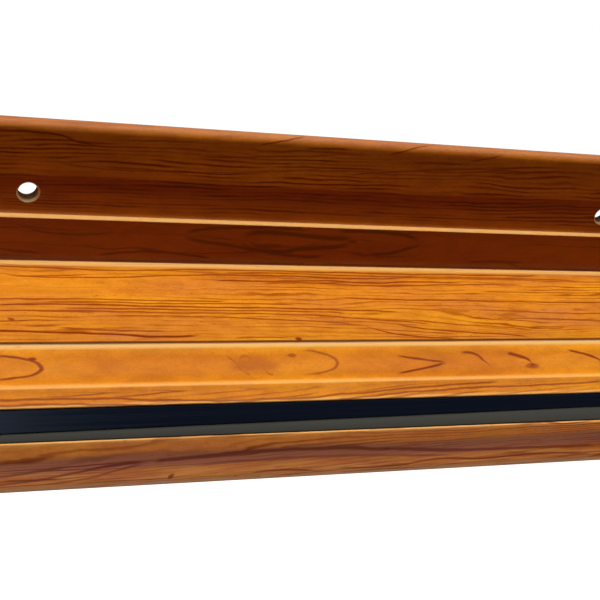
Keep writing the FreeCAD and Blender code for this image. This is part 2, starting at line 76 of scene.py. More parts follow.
# The grip, with its scoop, land, insert groove and nose at angles up from level.
GRIP_CENTRE = Vector((36.8, -34.6))
GRIP_RADIUS = 16.0
GRIP_BOTTOM = -50.6
GRIP_WALL = 2.2
INNER_RADIUS = GRIP_RADIUS - GRIP_WALL
SCOOP_RADIUS = 17.0
SCOOP_ANGLE = 58.5
LAND_ANGLE = 43.0
RIDGE_ANGLE = 26.5
NOSE_ANGLE = 19.5
GROOVE_ANGLE = (LAND_ANGLE + NOSE_ANGLE) / 2
GROOVE_HALF = GRIP_RADIUS * math.sin(math.radians(LAND_ANGLE - GROOVE_ANGLE))
GROOVE_MOUTH = GRIP_RADIUS * math.cos(math.radians(LAND_ANGLE - GROOVE_ANGLE))
RIDGE_ACROSS = -GRIP_RADIUS * math.sin(math.radians(GROOVE_ANGLE - RIDGE_ANGLE))
RIDGE_OUT = GRIP_RADIUS * math.cos(math.radians(GROOVE_ANGLE - RIDGE_ANGLE))
RIDGE_DRIFT = 1.6            # how far the ridge of the insert creeps up, from DRIFT_START to DRIFT_END
DRIFT_START = -85.0
DRIFT_END = 65.0
DRIFT_SLACK = 0.4            # points this far past the ridge still move with it
GROOVE_NECK = 1.2
GROOVE_UNDERCUT = 0.7
GROOVE_DEPTH = 3.2
INSERT_GAP = 0.1
INSERT_RECESS = 0.25
BEAD_SEAT = 2.0
SEAT_SLACK = 0.01
NUT_SLOT = ((JOINT_DEPTH, -36.9), (38.0, -36.9), (38.0, -38.3), (41.6, -38.3), (41.6, -30.9), (38.0, -30.9),
            (38.0, -32.3), (JOINT_DEPTH, -32.3))
CHAMBER_BACK = 38.9          # the chamber inside the grip goes round the nut slot
CHAMBER_STEP = 43.2
CHAMBER_STEP_BOTTOM = -39.9
CHAMBER_TOP = -32.4

# Screw ports and holes.
PORT_RADIUS = 1.45
WALL_PORT = Vector((6.2, -22.0))
UPPER_PORT = Vector((41.6, -24.6))
LOWER_PORT = Vector((41.6, -44.4))
BOSS_RADIUS = 3.2
BOSS_ROUND = 0.6
WALL_HOLES = (-75.0, 75.0)
WALL_HOLE_RADIUS = 2.15
WALL_HOLE_FLARE = 0.4
JOINT_HOLES = (-120.0, -40.0, 40.0, 120.0)
JOINT_HOLE_RADIUS = 2.2
JOINT_HEAD_RADIUS = 3.8
JOINT_HEAD_OVERRUN = 0.4     # the cutters start and end this far outside the metal

# Positions along the print, in millimetres round the section from the top of the flange's flat front.
FRONT_GRAIN = -0.4
LIP_GRAIN = FRONT_GRAIN - math.pi * LIP_RADIUS
SEAM_GRAIN = 63.0
NOSE_GRAIN = 83.6
BARE_GRAIN = 200.0

# How each face of the section tints the print, partly the print's own tone and partly painted light: painted
# shade on the flange face and the face under the ledge, which face away from the light, and painted
# highlights near the top and lower edge of the scoop and on the top of the nose: (position round the
# section, colour it is multiplied by).
FACE_TONES_WITH_PAINTED_LIGHT = (
    (-4.0, (0.60, 0.52, 0.60)),
    (-1.6, (0.62, 0.54, 0.45)),
    (-0.7, (0.60, 0.54, 0.40)),
    (0.4, (0.48, 0.37, 0.06)),
    (8.5, (0.54, 0.41, 0.06)),
    (9.8, (0.48, 0.35, 0.05)),
    (12.0, (0.38, 0.19, 0.04)),
    (14.5, (0.41, 0.24, 0.04)),
    (16.8, (0.38, 0.21, 0.04)),
    (18.2, (0.45, 0.30, 0.05)),
    (19.6, (0.49, 0.33, 0.05)),
    (21.2, (0.29, 0.11, 0.03)),
    (30.5, (0.28, 0.115, 0.03)),
    (31.8, (0.18, 0.10, 0.03)),
    (33.0, (0.90, 0.92, 0.92)),
    (48.0, (0.86, 0.88, 0.95)),
    (62.0, (0.78, 0.80, 1.00)),
    (62.6, (0.95, 1.05, 0.60)),
    (64.2, (1.00, 1.05, 0.14)),
    (65.7, (0.82, 0.72, 0.07)),
    (70.4, (0.75, 0.68, 0.09)),
    (72.6, (0.98, 0.94, 0.25)),
    (73.3, (0.84, 0.80, 0.18)),
    (75.0, (0.98, 0.96, 0.34)),
    (76.6, (0.96, 0.94, 0.60)),
    (83.0, (1.25, 1.10, 2.00)),
    (86.5, (1.25, 1.10, 2.00)),
    (88.0, (1.00, 0.90, 1.00)),
    (92.0, (0.68, 0.52, 0.06)),
    (95.0, (0.52, 0.42, 0.06)),
    (98.0, (0.30, 0.40, 1.20)),
)

# Painted highlights along the edges and fillets that catch the light: top, bottom, strength, and how softly
# it starts and stops.
PAINTED_EDGE_HIGHLIGHTS = (
    (19.75, 20.95, 0.95, 0.12, 0.10),
    (31.95, 32.7, 1.0, 0.15, 1.5),
    (63.0, 63.4, 1.0, 0.05, 0.8),
    (72.55, 72.75, 0.6, 1.2, 0.1),
    (76.2, 79.0, 0.6, 0.4, 0.1),
    (83.2, 83.8, 0.75, 0.1, 1.2),
)

# Profiles round the section: (position, value).
LINE_COUNT = ((-6, 0), (0, 4), (10, 13), (18.7, 22), (21.1, 23), (31.1, 26), (32.4, 27), (62.4, 47),
              (73.3, 48), (77.2, 51.6), (84, 53), (92, 63), (114, 78))
LINE_SLOPE = ((0, 0.13), (18.7, 0.1), (21, 0.1), (32, 0.1), (33, 0.1), (62, 0.1), (73, 0.12), (73.6, 0.17),
              (77, 0.17), (84, 0.12), (89, 0.18), (114, 0.12))
LEVEL_SLOPE = 0.1            # lines with this value in LINE_SLOPE run level
LINE_UNREST = ((0, 0.8), (18, 0.7), (22, 0.5), (31, 0.5), (33, 0.8), (62, 0.9), (66, 0.3), (77, 0.5),
               (84, 1.0))
LINE_WIDTH = ((0, 0.46), (18, 0.46), (21.5, 0.12), (31, 0.12), (33, 0.33), (62, 0.33), (64, 0.05),
              (73, 0.05), (74, 0.34), (77, 0.34), (84, 0.46), (114, 0.40))
LINE_STRENGTH = ((-6, 0.2), (-0.5, 0.3), (0.3, 1.1), (10, 1.1), (11, 1.6), (17.4, 1.6), (18.4, 0.1),
                 (21.0, 0.1), (21.6, 0.8), (31, 0.8), (32.6, 0.2), (33.6, 0.85), (62.4, 0.85), (63, 0.0),
                 (73.2, 0.0), (73.6, 0.8), (77, 0.8), (84, 0.8), (90, 0.9), (114, 0.9))
FLECK_STRENGTH = ((0, 0.6), (21, 0.5), (22, 0.2), (31, 0.2), (33, 0.5), (45, 1.0), (62, 1.0), (64, 0.2),
                  (73, 0.2), (74, 0.6), (84, 0.7), (114, 0.9))
# A pale pinkish veil on the lip and on the top and bottom of the nose: painted sheen where these faces are
# seen at a grazing angle, and on the lip also the print thinning over the base coat.
PAINTED_SHEEN_AND_THIN_PRINT = ((-3.6, 0.6), (-2.4, 0.35), (-1.0, 0.0), (83.0, 0.0), (83.8, 0.2), (88.0, 0.25), (91.0, 0.0),
        (96.0, 0.05), (98.2, 0.45))

# Painted shade in the corner where the deck meets the grip, a dark line: top, bottom, softness, strength.
SEAM_SHADE_LINE = (62.4, 62.85, 0.08, 0.9)

# The base coat shows above the print's ragged upper edge and below its lower edge.
PRINT_TOP = (-4.9, -5.2)
PRINT_BOTTOM = (117.0, 118.0)

INK_COLOUR = (0.38, 0.15, 0.10, 1.0)
# Colour of the painted edge highlights.
EDGE_HIGHLIGHT_COLOUR = (1.0, 0.53, 0.15, 1.0)
# Colour of the painted shade in the seam.
SEAM_SHADE_COLOUR = (0.12, 0.035, 0.004, 1.0)

# Strong grain lines, each through a few (along the rail, round the section) places: width, strength, places.
GRAIN_LINES = (
    (0.40, 0.9, ((-98, 0.1), (-84, 0.2), (-73, 0.1), (-66, 1.6), (-60, 2.3))),
    (0.30, 0.7, ((-40, 3.6), (-28, 3.2), (-14, 2.0), (-4, 1.0))),
    (0.30, 0.7, ((-2, 6.4), (12, 4.6), (24, 3.4), (38, 2.7), (52, 2.9))),
    (0.30, 0.6, ((-70, 6.9), (-50, 8.0), (-30, 7.2), (-10, 5.6), (6, 5.1))),
    (0.32, 0.9, ((-26, 0.3), (-19, -1.4), (-13, -3.0))),
    (0.35, 0.8, ((-14, 0.2), (-8, -0.2), (-2, -0.3))),
    (0.32, 0.8, ((7, 0.6), (13, -1.2), (19, -2.8))),
    (0.32, 0.7, ((30, 0.9), (34, 0.0), (39, -1.6))),
    (0.65, 0.9, ((-40, 24.2), (-36, 22.9), (-28, 21.8), (-18, 21.5), (-8, 21.7))),
    (0.65, 0.9, ((-40, 24.1), (-36, 25.5), (-29, 26.4), (-22, 27.7), (-14, 28.9), (-2, 29.2))),
    (0.70, 1.0, ((-2, 21.9), (10, 21.7), (18, 22.6), (23, 24.5))),
    (0.75, 1.0, ((8, 28.2), (14, 27.7), (19, 26.4), (23.4, 24.3))),
    (0.95, 1.0, ((-26, 25.3), (-24, 23.6), (-19, 22.8), (-10, 23.3), (-2, 23.8), (2.6, 24.0), (4.6, 25.4))),
    (1.00, 1.0, ((-26, 25.1), (-24, 26.8), (-20, 27.9), (-15, 28.2), (-10, 27.2), (-3, 26.5), (0.6, 26.1),
                 (4.6, 25.2))),
    (0.50, 0.7, ((-76, 23.2), (-66, 24.8), (-59, 24.6), (-54, 22.6))),
    (0.50, 0.9, ((-60, 30.5), (-53, 29.3), (-46, 28.9), (-38, 29.5), (-30, 30.4))),
    (0.45, 0.7, ((-92, 25.6), (-84, 28.2), (-76, 29.6), (-70, 30.0))),
    (0.45, 0.8, ((36, 30.3), (42, 29.5), (48, 29.3), (56, 30.4))),
    (0.45, 0.8, ((-94, 34.0), (-70, 34.4), (-52, 35.1), (-36, 34.2), (-10, 34.3), (20, 34.6), (60, 34.2))),
    (0.45, 0.8, ((-80, 37.6), (-62, 38.3), (-44, 37.0), (-20, 36.3), (4, 37.1), (30, 35.8), (70, 36.4))),
    (0.50, 0.9, ((-34, 38.4), (-18, 38.8), (-4, 38.2), (8, 39.0), (20, 38.1), (34, 38.6))),
    (0.40, 0.8, ((-30, 35.5), (-12, 35.2), (6, 35.9), (24, 35.0))),
    (0.40, 0.8, ((-26, 36.9), (-10, 36.4), (4, 37.0), (18, 36.4))),
    (0.45, 0.8, ((-22, 39.9), (-6, 39.4), (8, 40.2), (30, 39.2), (52, 38.9))),
    (0.40, 0.7, ((22, 36.9), (44, 36.4), (66, 37.0), (90, 36.2))),
    (0.40, 0.7, ((36, 41.7), (54, 42.4), (74, 42.2), (90, 41.4))),
    (0.45, 0.9, ((-4, 45.6), (12, 46.1), (40, 46.4), (62, 46.9), (78, 46.7))),
    (0.40, 0.8, ((-90, 47.3), (-70, 46.9), (-50, 47.2), (-30, 47.5))),
    (0.40, 0.8, ((-74, 48.1), (-60, 48.0), (-46, 48.5), (-28, 48.3), (-14, 48.9))),
    (0.45, 0.9, ((-84, 49.4), (-66, 48.9), (-50, 49.6), (-30, 49.8), (-10, 50.4), (12, 51.6))),
    (0.40, 0.8, ((-70, 50.4), (-56, 50.5), (-40, 50.9), (-18, 51.2), (-2, 52.6))),
    (0.40, 0.8, ((-90, 51.6), (-66, 51.3), (-46, 51.9), (-20, 52.4), (0, 54.2), (18, 56.6))),
    (0.40, 0.8, ((-60, 53.0), (-40, 53.4), (-22, 54.6), (-2, 56.2))),
    (0.45, 0.9, ((6, 55.6), (14, 58.2), (24, 59.6), (34, 60.6), (42, 62.2))),
    (0.40, 0.9, ((-2, 55.4), (0, 57.6), (4, 59.6), (12, 61.4), (22, 62.2))),
    (0.40, 0.7, ((16, 55.2), (26, 56.8), (36, 57.6), (46, 59.6))),
    (0.40, 0.7, ((30, 50.3), (44, 50.9), (60, 51.8), (76, 51.4))),
    (0.40, 0.7, ((34, 53.9), (48, 54.0), (64, 55.0), (74, 55.2))),
    (0.60, 1.0, ((-86, 58.4), (-72, 59.0), (-58, 60.1), (-48, 60.8), (-40, 60.2))),
    (0.40, 0.8, ((-72, 57.4), (-60, 58.4), (-46, 59.0))),
    (0.40, 0.7, ((-34, 62.2), (-28, 61.2), (-20, 61.9))),
    (0.40, 0.8, ((42, 57.8), (48, 58.3), (54, 57.9))),
    (0.35, 0.8, ((-95, 75.2), (-70, 74.9), (-52, 75.6), (-30, 76.2), (-10, 75.4), (14, 74.0), (30, 73.5))),
    (0.35, 0.8, ((-95, 76.3), (-74, 76.0), (-56, 76.6), (-36, 77.0))),
    (0.35, 0.8, ((-14, 77.0), (6, 75.4), (24, 74.7), (46, 74.4), (60, 73.6))),
    (0.70, 0.9, ((-95, 95.6), (-82, 94.8), (-70, 92.4), (-60, 90.0), (-52, 89.4))),
    (0.55, 0.8, ((-88, 92.2), (-78, 91.2), (-68, 89.4))),
    (0.60, 0.8, ((-76, 96.4), (-66, 94.2), (-58, 91.2), (-53, 89.8))),
    (0.80, 0.8, ((-54, 89.5), (-38, 88.7), (-20, 88.0), (0, 89.0), (24, 90.6), (60, 91.2))),
    (0.60, 0.6, ((-44, 91.8), (-30, 90.6), (-16, 90.4), (6, 91.4), (20, 92.0))),
    (0.70, 0.9, ((-31, 96.6), (-26, 95.0), (-20, 95.0), (-13, 97.4))),
    (0.45, 0.5, ((-36.0, 65.6), (-34.4, 66.8), (-33.0, 69.2), (-31.0, 70.4))),
    (0.45, 0.5, ((-33.6, 67.6), (-31.0, 65.8), (-28.6, 66.6), (-27.6, 68.8), (-29.6, 70.0))),
    (0.45, 0.5, ((-28.4, 67.4), (-25.4, 66.2), (-23.4, 68.0), (-25.6, 70.0))),
    (0.55, 0.9, ((21.0, 65.6), (24.6, 66.0), (27.0, 67.6), (28.6, 70.4))),
    (0.40, 0.9, ((4.0, 66.2), (10.0, 67.0), (17.4, 68.2))),
    (0.45, 1.0, ((3.0, 70.9), (10.0, 69.6), (17.6, 68.1))),
    (0.70, 1.0, ((33.0, 65.6), (36.0, 66.4), (39.0, 67.6), (40.6, 69.8))),
    (0.50, 1.0, ((50.0, 65.2), (55.0, 66.2), (58.5, 67.4), (61.0, 69.6))),
    (0.75, 0.9, ((-10, 94.0), (-2, 95.8), (6, 95.6), (16, 93.4), (28, 94.2), (42, 93.4), (58, 95.4))),
)

# Half loops of grain: centre, half size, line width, strength, the side that shows.
GRAIN_LOOPS = (
    ((-14.0, 25.2), (8.0, 1.5), 0.5, 0.5, "lower"),
    ((-86.5, 67.8), (11.8, 2.7), 0.35, 0.9, "right"),
    ((-19.0, 67.6), (8.5, 2.9), 0.35, 0.7, "right"),
)

# Small dark marks: centre, half size, strength.
GRAIN_KNOTS = (
    ((-18.0, 26.6), (5.0, 1.0), 0.8),
    ((-88.0, 22.6), (4.0, 0.9), 0.5),
    ((-68.0, 59.0), (5.0, 1.2), 0.5),
    ((-18.6, 62.0), (1.2, 0.7), 1.0),
    ((-30.0, 67.8), (6.5, 2.8), 0.32),
    ((39.8, 69.4), (2.6, 1.0), 0.7),
    ((-80.0, 54.4), (0.8, 0.6), 0.8),
    ((3.6, 24.8), (1.6, 0.7), 0.9),
    ((-76.6, 65.9), (1.2, 0.5), 1.0),
    ((-20.8, 65.8), (1.5, 0.6), 0.7),
    ((40.0, 69.2), (1.2, 0.8), 0.9),
    ((-47.5, 95.2), (0.9, 1.8), 1.0),
)

# The studio, in metres, watts and degrees. Lights: place, target, size, power.
FLOOR_REACH = 6.0
FLOOR_LEVEL = -0.6
FILL_STRENGTH = 0.02
OVERHEAD = ((0.0, -0.02, 0.5), (0.0, -0.03, 0.0), (1.2, 0.26), 5.4)
UNDER_FILL = ((0.0, -0.17, -0.5), (0.0, -0.04, -0.03), (1.0, 0.3), 5.0)
FRONT_STRIP = ((0.0, -0.28, 0.45), (0.0, -0.03, 0.0), (1.2, 0.05), 0.3)
COOL_CARD = ((-0.09, -0.5, 0.24), (0.0, -0.04, -0.02), (0.12, 0.3), 0.13)
COOL_COLOUR = (0.6, 0.75, 1.0)
CAMERA_LENS = 66.0
CAMERA_SENSOR = 36.0
CAMERA_PLACE = (-0.107446, -0.218094, 0.117044)
CAMERA_TURN = (57.842, -12.191, -17.863)


# ---------------------------------------------------------------- sections

def polar(centre, radius, degrees):
    turn = math.radians(degrees)
    return centre + radius * Vector((math.cos(turn), math.sin(turn)))


def arc_points(centre, radius, first, last):
    steps = max(2, math.ceil(abs(last - first) / ARC_STEP))
    return [polar(centre, radius, first + (last - first) * k / steps) for k in range(steps + 1)]


def trim(points, length):
    """The run with this much of its start taken off."""
    points = list(points)
    while (points[1] - points[0]).length <= length:
        length -= (points[1] - points[0]).length
        points.pop(0)
    points[0] = points[0] + (points[1] - points[0]).normalized() * length
    return points


class Outline:
    """A closed section, built run by run, that also knows how far along the print each part of it is."""

    def __init__(self, depth, height, grain=0.0):
        self.start = Vector((depth, height))
        self.grain = grain
        self.runs = []
        self.rounds = []
        self.restarts = {}

    def last(self):
        return self.runs[-1][-1] if self.runs else self.start

    def run(self, points, rounding, restart):
        self.runs.append(points)
        self.rounds.append(rounding)
        if restart is not None:
            self.restarts[len(self.runs) - 1] = restart
        return self

    def to(self, place, rounding=0.0, restart=None):
        return self.run([self.last(), Vector(place)], rounding, restart)

    def arc(self, centre, radius, first, last, rounding=0.0):
        return self.run(arc_points(Vector(centre), radius, first, last), rounding, None)

    def corner(self, k):
        """Rounds the corner after run k, and returns the points of the round."""
        before, after = self.runs[k], self.runs[(k + 1) % len(self.runs)]
        way_in = (before[-1] - before[-2]).normalized()
        way_out = (after[1] - after[0]).normalized()
        turn = math.acos(max(-1.0, min(1.0, way_in.dot(way_out))))
        back = self.rounds[k] * math.tan(turn / 2)
        before = trim(before[::-1], back)[::-1]
        after = trim(after, back)
        self.runs[k], self.runs[(k + 1) % len(self.runs)] = before, after
        handle = self.rounds[k] * math.tan(turn / 4) * 4 / 3
        first, last = before[-1], after[0]
        control = [first, first + way_in * handle, last - way_out * handle, last]
        steps = max(4, math.ceil(math.degrees(turn) / ROUND_STEP))
        return [bezier(control, j / steps) for j in range(1, steps)]

    def segments(self):
        """Every straight bit of the loop as (start, end, grain position at its start)."""
        if (self.last() - self.start).length > SAME_PLACE:
            self.to(self.start)
        count = len(self.runs)
        rounds = {k: self.corner(k) for k in range(count) if self.rounds[k]}
        points, grain, at = [], [], self.grain
        for k in range(count):
            for point in self.runs[k] + rounds.get(k, []):
                if points and (point - points[-1]).length < SAME_PLACE:
                    continue
                at += (point - points[-1]).length if points else 0.0
                points.append(point)
                grain.append(at)
                if k in self.restarts and point is self.runs[k][-1]:
                    at = grain[-1] = self.restarts[k]
        if (points[-1] - points[0]).length < SAME_PLACE:
            points.pop()
            grain.pop()
        return list(zip(points, points[1:] + points[:1], grain))


def bezier(control, t):
    a, b, c, d = control
    return a * (1 - t) ** 3 + b * 3 * t * (1 - t) ** 2 + c * 3 * t * t * (1 - t) + d * t ** 3


def circle_loop(centre, radius, sides=36):
    return [polar(centre, radius, 360 * k / sides) for k in range(sides)]


def groove_ways():
    """Unit vectors up across the mouth of the insert groove, and straight out of it."""
    turn = math.radians(GROOVE_ANGLE)
    return Vector((-math.sin(turn), math.cos(turn))), Vector((math.cos(turn), math.sin(turn)))


def insert_point(across, outward):
    """A point given across and out of the insert groove."""
    up, out = groove_ways()
    return GRIP_CENTRE + up * across + out * outward


def centre_between(start, end, radius):
    """Centre of the arc of this radius from start to end, on the left of the way from one to the other."""
    half = (end - start) / 2
    side = Vector((-half.y, half.x)).normalized()
    return start + half + side * math.sqrt(radius ** 2 - half.length_squared)


def bearing(centre, point):
    return math.degrees(math.atan2(point.y - centre.y, point.x - centre.x))


def mounting_outline():
    outline = Outline(FLANGE_FACE, LIP_HEIGHT, FRONT_GRAIN)
    outline.to((FLANGE_FACE, LEDGE_TOP), LEDGE_ROUND).to((LEDGE_FACE, LEDGE_TOP), EDGE_ROUND)
    outline.to((LEDGE_FACE, DECK_TOP), DECK_ROUND).to((JOINT_DEPTH, DECK_TOP), SEAM_ROUND)
    outline.to((JOINT_DEPTH, GRIP_BOTTOM), 0.0, BARE_GRAIN)
    outline.arc((JOINT_DEPTH, GRIP_BOTTOM + WEB_TOE_RADIUS), WEB_TOE_RADIUS, 270, 180)
    outline.to((WEB_BACK, DECK_UNDER), WEB_ROUND)
    deck_reach = math.sqrt(BOSS_RADIUS ** 2 - (DECK_UNDER - WALL_PORT.y) ** 2)
    flange_reach = math.sqrt(BOSS_RADIUS ** 2 - (WALL_PORT.x - FLANGE_FACE) ** 2)
    boss_start = Vector((WALL_PORT.x + deck_reach, DECK_UNDER))
    boss_end = Vector((FLANGE_FACE, WALL_PORT.y - flange_reach))
    outline.to(boss_start, BOSS_ROUND)
    turns = (bearing(WALL_PORT, boss_start), bearing(WALL_PORT, boss_end))
    outline.arc(WALL_PORT, BOSS_RADIUS, *turns, BOSS_ROUND)
    outline.to((FLANGE_FACE, FLANGE_FOOT), EDGE_ROUND).to((0.0, FLANGE_FOOT), TRIM_ROUND)
    outline.to((0.0, LIP_HEIGHT), 0.0, LIP_GRAIN)
    outline.arc((LIP_RADIUS, LIP_HEIGHT), LIP_RADIUS, 180, 0)
    return outline


def grip_outline():
    seam = Vector((JOINT_DEPTH, DECK_TOP))
    scoop_end = polar(GRIP_CENTRE, GRIP_RADIUS, SCOOP_ANGLE)
    centre = centre_between(seam, scoop_end, SCOOP_RADIUS)
    outline = Outline(*seam, SEAM_GRAIN)
    outline.arc(centre, SCOOP_RADIUS, bearing(centre, seam), bearing(centre, scoop_end), EDGE_ROUND)
    outline.to(polar(GRIP_CENTRE, GRIP_RADIUS, LAND_ANGLE), EDGE_ROUND)
    neck, floor = GROOVE_MOUTH - GROOVE_NECK, GROOVE_MOUTH - GROOVE_DEPTH
    shoulder, wide = neck - GROOVE_UNDERCUT, GROOVE_HALF + GROOVE_UNDERCUT
    for across, outward in ((GROOVE_HALF, neck), (wide, shoulder), (wide, floor), (-wide, floor),
                            (-wide, shoulder), (-GROOVE_HALF, neck)):
        outline.to(insert_point(across, outward))
    outline.to(polar(GRIP_CENTRE, GRIP_RADIUS, NOSE_ANGLE), EDGE_ROUND, NOSE_GRAIN)
    outline.arc(GRIP_CENTRE, GRIP_RADIUS, NOSE_ANGLE, -90)
    outline.to((JOINT_DEPTH, GRIP_BOTTOM))
    for place in NUT_SLOT:
        outline.to(place)
    outline.to(seam, SEAM_ROUND)
    return outline


def grip_hollow():
    """The chamber behind the round wall, with the lower screw port's boss standing in it."""
    ceiling = GROOVE_MOUTH - GROOVE_DEPTH - GRIP_WALL
    turn = math.radians(GROOVE_ANGLE)
    slope = (ceiling - (CHAMBER_TOP - GRIP_CENTRE.y) * math.sin(turn)) / math.cos(turn)
    ceiling_turn = GROOVE_ANGLE - math.degrees(math.acos(ceiling / INNER_RADIUS))
    back_turn = math.degrees(math.acos((CHAMBER_BACK - GRIP_CENTRE.x) / INNER_RADIUS))
    reach = (LOWER_PORT - GRIP_CENTRE).length
    boss_turn = bearing(GRIP_CENTRE, LOWER_PORT)
    cosine = (INNER_RADIUS ** 2 + reach ** 2 - BOSS_RADIUS ** 2) / (2 * INNER_RADIUS * reach)
    spread = math.degrees(math.acos(cosine))
    meet = [polar(GRIP_CENTRE, INNER_RADIUS, boss_turn + side * spread) for side in (1, -1)]
    boss_from, boss_to = (bearing(LOWER_PORT, point) for point in meet)
    outline = Outline(CHAMBER_BACK, CHAMBER_STEP_BOTTOM)
    outline.to((CHAMBER_STEP, CHAMBER_STEP_BOTTOM)).to((CHAMBER_STEP, CHAMBER_TOP))
    outline.to((GRIP_CENTRE.x + slope, CHAMBER_TOP))
    outline.to(polar(GRIP_CENTRE, INNER_RADIUS, ceiling_turn))
    outline.arc(GRIP_CENTRE, INNER_RADIUS, ceiling_turn, boss_turn + spread)
    outline.arc(LOWER_PORT, BOSS_RADIUS, boss_from, boss_to + 360)
    outline.arc(GRIP_CENTRE, INNER_RADIUS, boss_turn - spread, -back_turn)
    return outline


def insert_levels():
    """Half widths of the insert in neck and undercut, and the heights of its neck, seat and floor."""
    neck = GROOVE_MOUTH - GROOVE_NECK - INSERT_GAP
    return (GROOVE_HALF - INSERT_GAP, GROOVE_HALF + GROOVE_UNDERCUT - INSERT_GAP,
            neck, GROOVE_MOUTH - BEAD_SEAT, GROOVE_MOUTH - GROOVE_DEPTH)


def carrier_outline():
    half, wide, neck, seat, floor = insert_levels()
    outline = Outline(*insert_point(half, GROOVE_MOUTH - INSERT_RECESS))
    outline.to(insert_point(RIDGE_ACROSS, RIDGE_OUT), TRIM_ROUND).to(insert_point(RIDGE_ACROSS, seat))
    for across, outward in ((-wide, seat), (-wide, floor), (wide, floor), (wide, seat), (half, neck)):
        outline.to(insert_point(across, outward))
    outline.to(outline.start, TRIM_ROUND)
    return outline


def bead_outline():
    half, wide, neck, seat, _ = insert_levels()
    side = RIDGE_ACROSS - INSERT_GAP
    top = insert_point(side, RIDGE_OUT - INSERT_RECESS)
    low = insert_point(-half, GROOVE_MOUTH - INSERT_GAP)
    radius = GRIP_RADIUS / 3
    centre = centre_between(low, top, radius)
    outline = Outline(*insert_point(side, seat))
    outline.to(top, TRIM_ROUND)
    outline.arc(centre, radius, bearing(centre, top), bearing(centre, low), TRIM_ROUND)
    outline.to(insert_point(-half, neck)).to(insert_point(-wide, seat))
    return outline


# ---------------------------------------------------------------- meshes

def stations():
    count = round(2 * RAIL_END / STATION_STEP)
    return [-RAIL_END + 2 * RAIL_END * k / count for k in range(count + 1)]


def add_tube(bm, loop, places, material, drift=None):
    """Side faces of one loop swept along the rail; returns its first and last rings of vertices."""
    rings = []
    for x in places:
        ring = [drift(point, x) for point in loop] if drift else loop
        rings.append([bm.verts.new((x * MM, -p.x * MM, p.y * MM)) for p in ring])
    size = len(loop)
    for near, far in zip(rings, rings[1:]):
        for k in range(size):
            face = bm.faces.new((near[k], near[(k + 1) % size], far[(k + 1) % size], far[k]))
            face.material_index = material
    return rings[0], rings[-1]


def ridge_drift(point, x):
    """Moves the insert's ridge, and the bead's face with it, up across the groove as the rail goes on."""
    up, out = groove_ways()
    across, outward = (point - GRIP_CENTRE).dot(up), (point - GRIP_CENTRE).dot(out)
    if outward < GROOVE_MOUTH - BEAD_SEAT - SEAT_SLACK or across > RIDGE_ACROSS + DRIFT_SLACK:
        return point
    share = min(1.0, (across + GROOVE_HALF) / (RIDGE_ACROSS - INSERT_GAP + GROOVE_HALF))
    along = max(0.0, min(1.0, (x - DRIFT_START) / (DRIFT_END - DRIFT_START)))
    return point + up * (max(0.0, share) * RIDGE_DRIFT * along)


def extrude(name, outline, inner_loops=(), cutter=None, drift=None):
    """Sweeps a section along the rail, drills it, and writes the print's coordinates on it."""
    segments = outline.segments()
    bm = bmesh.new()
    ends = [add_tube(bm, [start for start, _, _ in segments], stations(), 0, drift)]
    ends += [add_tube(bm, loop, stations(), 1) for loop in inner_loops]
    for side in (0, 1):
        rim = [ring[side] for ring in ends]
        edges = [bm.edges.get((ring[k - 1], ring[k])) for ring in rim for k in range(len(ring))]
        filled = bmesh.ops.triangle_fill(bm, use_beauty=True, use_dissolve=False, edges=edges)
        for item in filled["geom"]:
            if isinstance(item, bmesh.types.BMFace):
                item.material_index = 1
    bmesh.ops.recalc_face_normals(bm, faces=bm.faces)
    piece = new_piece(name, bm)
    if cutter:
        drill(piece, cutter)
    write_grain(piece.data, segments)
    smooth(piece)
    return piece


def new_piece(name, bm):
    mesh = bpy.data.meshes.new(name)
    bm.to_mesh(mesh)
    bm.free()
    piece = bpy.data.objects.new(name, mesh)
    bpy.context.scene.collection.objects.link(piece)
    return piece


def add_drill(bm, x, height, profile, sides=72):
    """A solid of revolution about an axis square to the wall; profile is (depth, radius) pairs."""
    turns = [2 * math.pi * k / sides for k in range(sides)]
    rings = []
    for depth, radius in profile:
        places = [(x + radius * math.cos(t), -depth, height + radius * math.sin(t)) for t in turns]
        rings.append([bm.verts.new([value * MM for value in place]) for place in places])
    for near, far in zip(rings, rings[1:]):
        for k in range(sides):
            bm.faces.new((near[k], near[(k + 1) % sides], far[(k + 1) % sides], far[k]))
    bm.faces.new(rings[0])
    bm.faces.new(rings[-1])


def hole_cutter():
    """Wall holes with broken edges, and joint holes countersunk from behind."""
    bm = bmesh.new()
    radius, flare = WALL_HOLE_RADIUS, WALL_HOLE_FLARE
    wide = radius + 2 * flare
    profile = ((-flare, wide), (flare, radius), (FLANGE_FACE - flare, radius), (FLANGE_FACE + flare, wide))
    for x in WALL_HOLES:
        add_drill(bm, x, 0.0, profile)
    radius, head, over = JOINT_HOLE_RADIUS, JOINT_HEAD_RADIUS, JOINT_HEAD_OVERRUN
    profile = ((WEB_BACK - over, head + over), (WEB_BACK + head - radius, radius),
               (JOINT_DEPTH + over, radius))
    for x in JOINT_HOLES:
        add_drill(bm, x, GRIP_CENTRE.y, profile)
    bmesh.ops.recalc_face_normals(bm, faces=bm.faces)
    for face in bm.faces:
        face.material_index = 1
    return new_piece("hole_cutter", bm)


def drill(piece, cutter):
    boolean = piece.modifiers.new("holes", "BOOLEAN")
    boolean.object = cutter
    boolean.solver = "EXACT"
    bpy.context.view_layer.update()
    drilled = bpy.data.meshes.new_from_object(piece.evaluated_get(bpy.context.evaluated_depsgraph_get()))
    piece.modifiers.clear()
    old, piece.data = piece.data, drilled
    drilled.name = piece.name
    bpy.data.meshes.remove(old)
    bpy.data.objects.remove(cutter)


